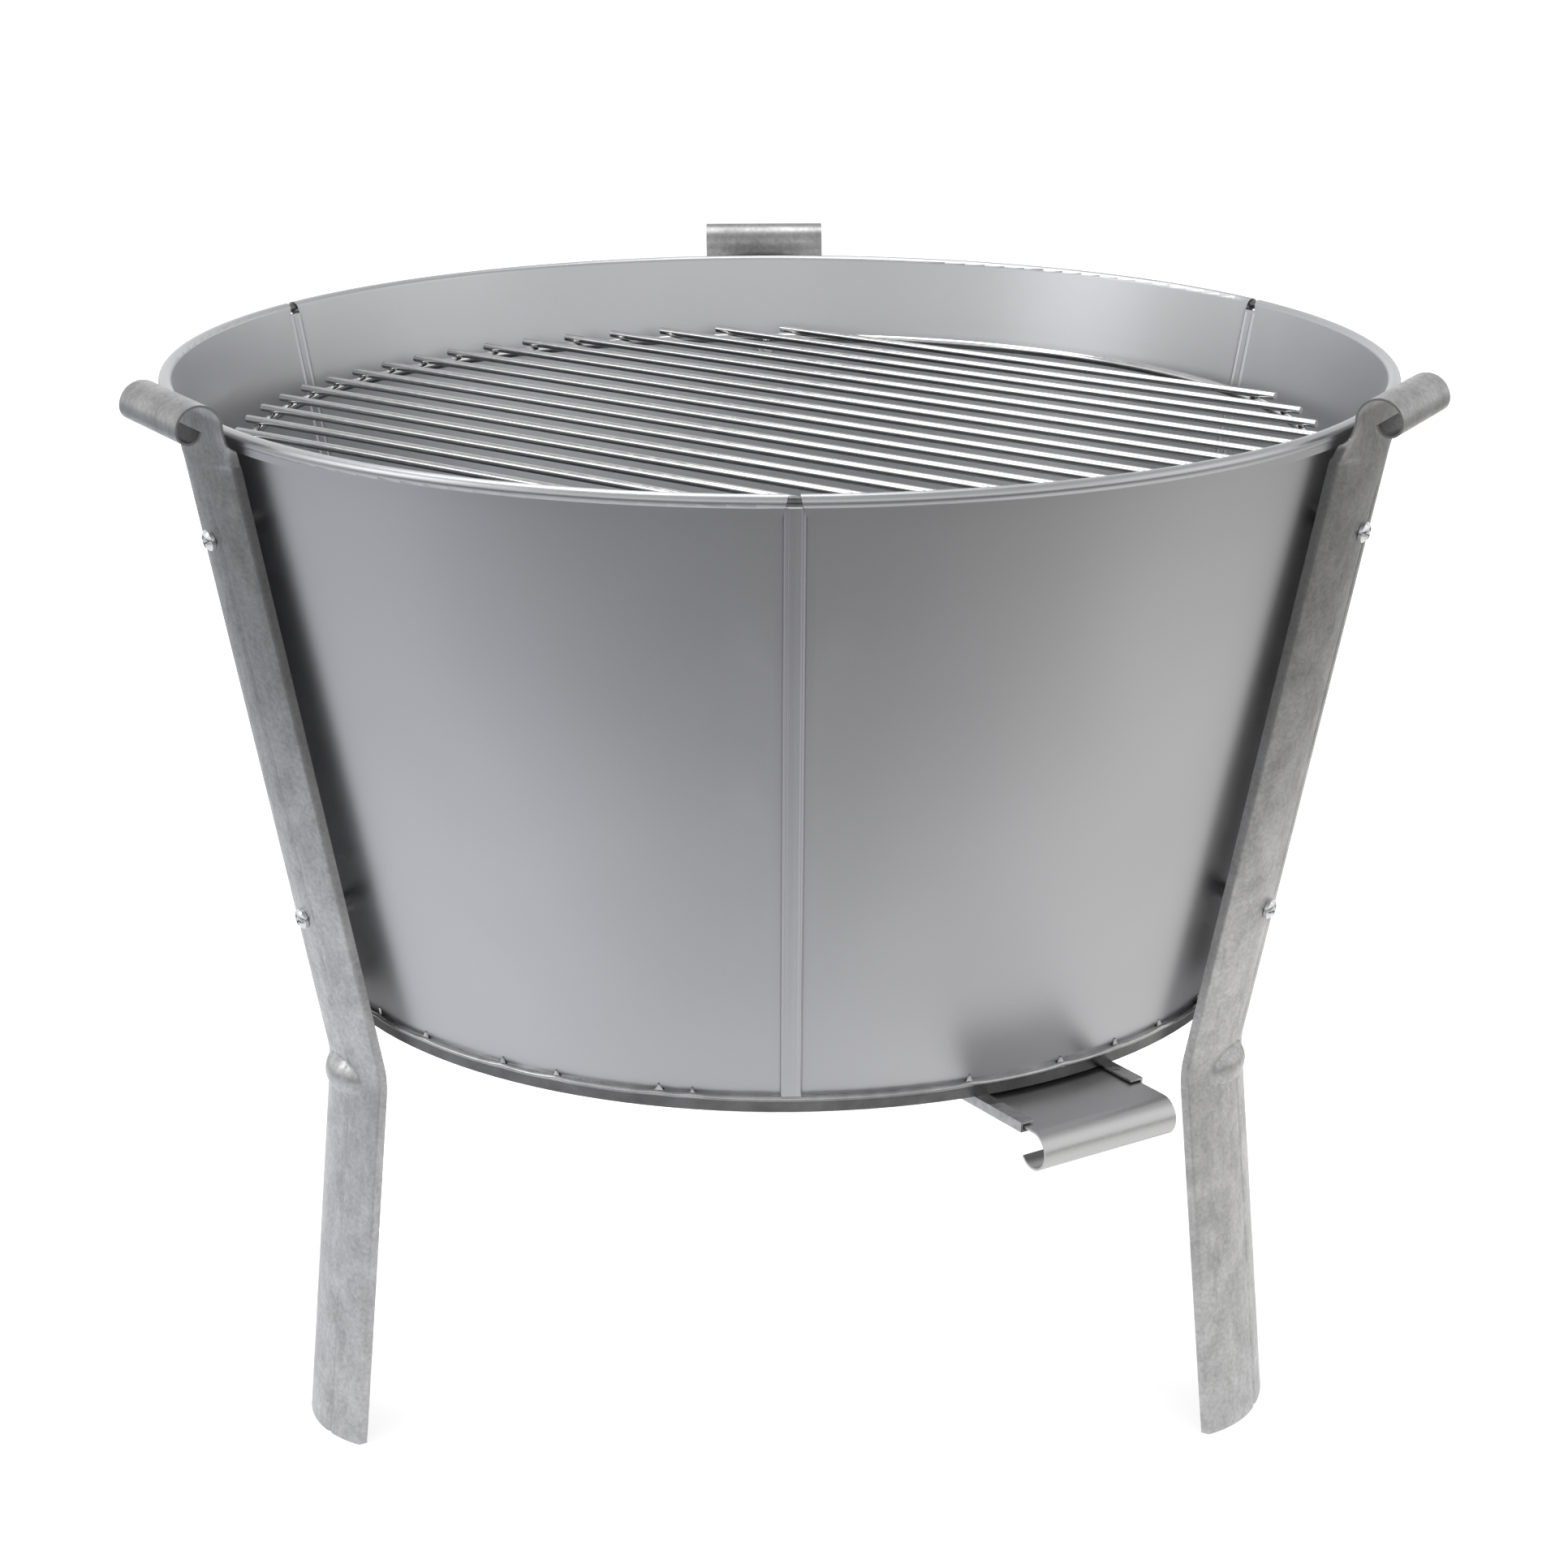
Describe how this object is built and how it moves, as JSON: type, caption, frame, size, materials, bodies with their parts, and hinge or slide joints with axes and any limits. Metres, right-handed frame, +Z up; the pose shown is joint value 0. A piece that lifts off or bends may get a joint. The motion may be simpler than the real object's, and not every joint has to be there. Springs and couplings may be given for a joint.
{
  "type": "fire pit with grate",
  "caption": "Tapered galvanised fire pit on strip legs with rolled handles, a lift-out rod grate and an air slide under the base.",
  "frame": {"origin": "on the ground, under the tub's axis", "axes": "+Z up along the tub's axis, +Y towards the back leg, the air slide's side is towards -Y and +X"},
  "size_m": [0.4808, 0.5023, 0.4211],
  "materials": {
    "tub_sheet": "galvanised, smooth satin",
    "base_sheet": "galvanised, satin",
    "rim_wire": "drawn wire",
    "leg_strip": "hot-dip galvanised, cloudy",
    "rail_sheet": "hot-dip galvanised, mottled",
    "slide_sheet": "satin sheet",
    "zinc_fastener": "bright zinc plated",
    "spacer_tube": "zinc plated tube",
    "chrome_wire": "bright chrome plated"
  },
  "bodies": {
    "tub": {"wall_panel_left": "tub_sheet", "wall_panel_right": "tub_sheet", "wall_panel_back": "tub_sheet", "rim_wire": "rim_wire", "base_plate": "base_sheet", "leg_left": "leg_strip", "leg_right": "leg_strip", "leg_back": "leg_strip", "upper_screw_left": "zinc_fastener", "upper_screw_right": "zinc_fastener", "upper_screw_back": "zinc_fastener", "lower_screw_left": "zinc_fastener", "lower_screw_right": "zinc_fastener", "lower_screw_back": "zinc_fastener", "upper_nuts": "zinc_fastener", "lower_nuts": "zinc_fastener", "upper_spacers": "spacer_tube", "lower_spacers": "spacer_tube", "slide_rail_left": "rail_sheet", "slide_rail_right": "rail_sheet"},
    "grate": {"grate_ring": "chrome_wire", "grate_rods": "chrome_wire"},
    "slide": {"air_slide": "slide_sheet"}
  },
  "joints": [
    {"name": "grate_lift", "type": "slide", "parent": "tub", "child": "grate", "axis": [0, 0, 1], "range_m": [0, 0.09]},
    {"name": "air_slide_pull", "type": "slide", "parent": "tub", "child": "slide", "axis": [0.5225, -0.8526, 0], "range_m": [0, 0.05]}
  ]
}
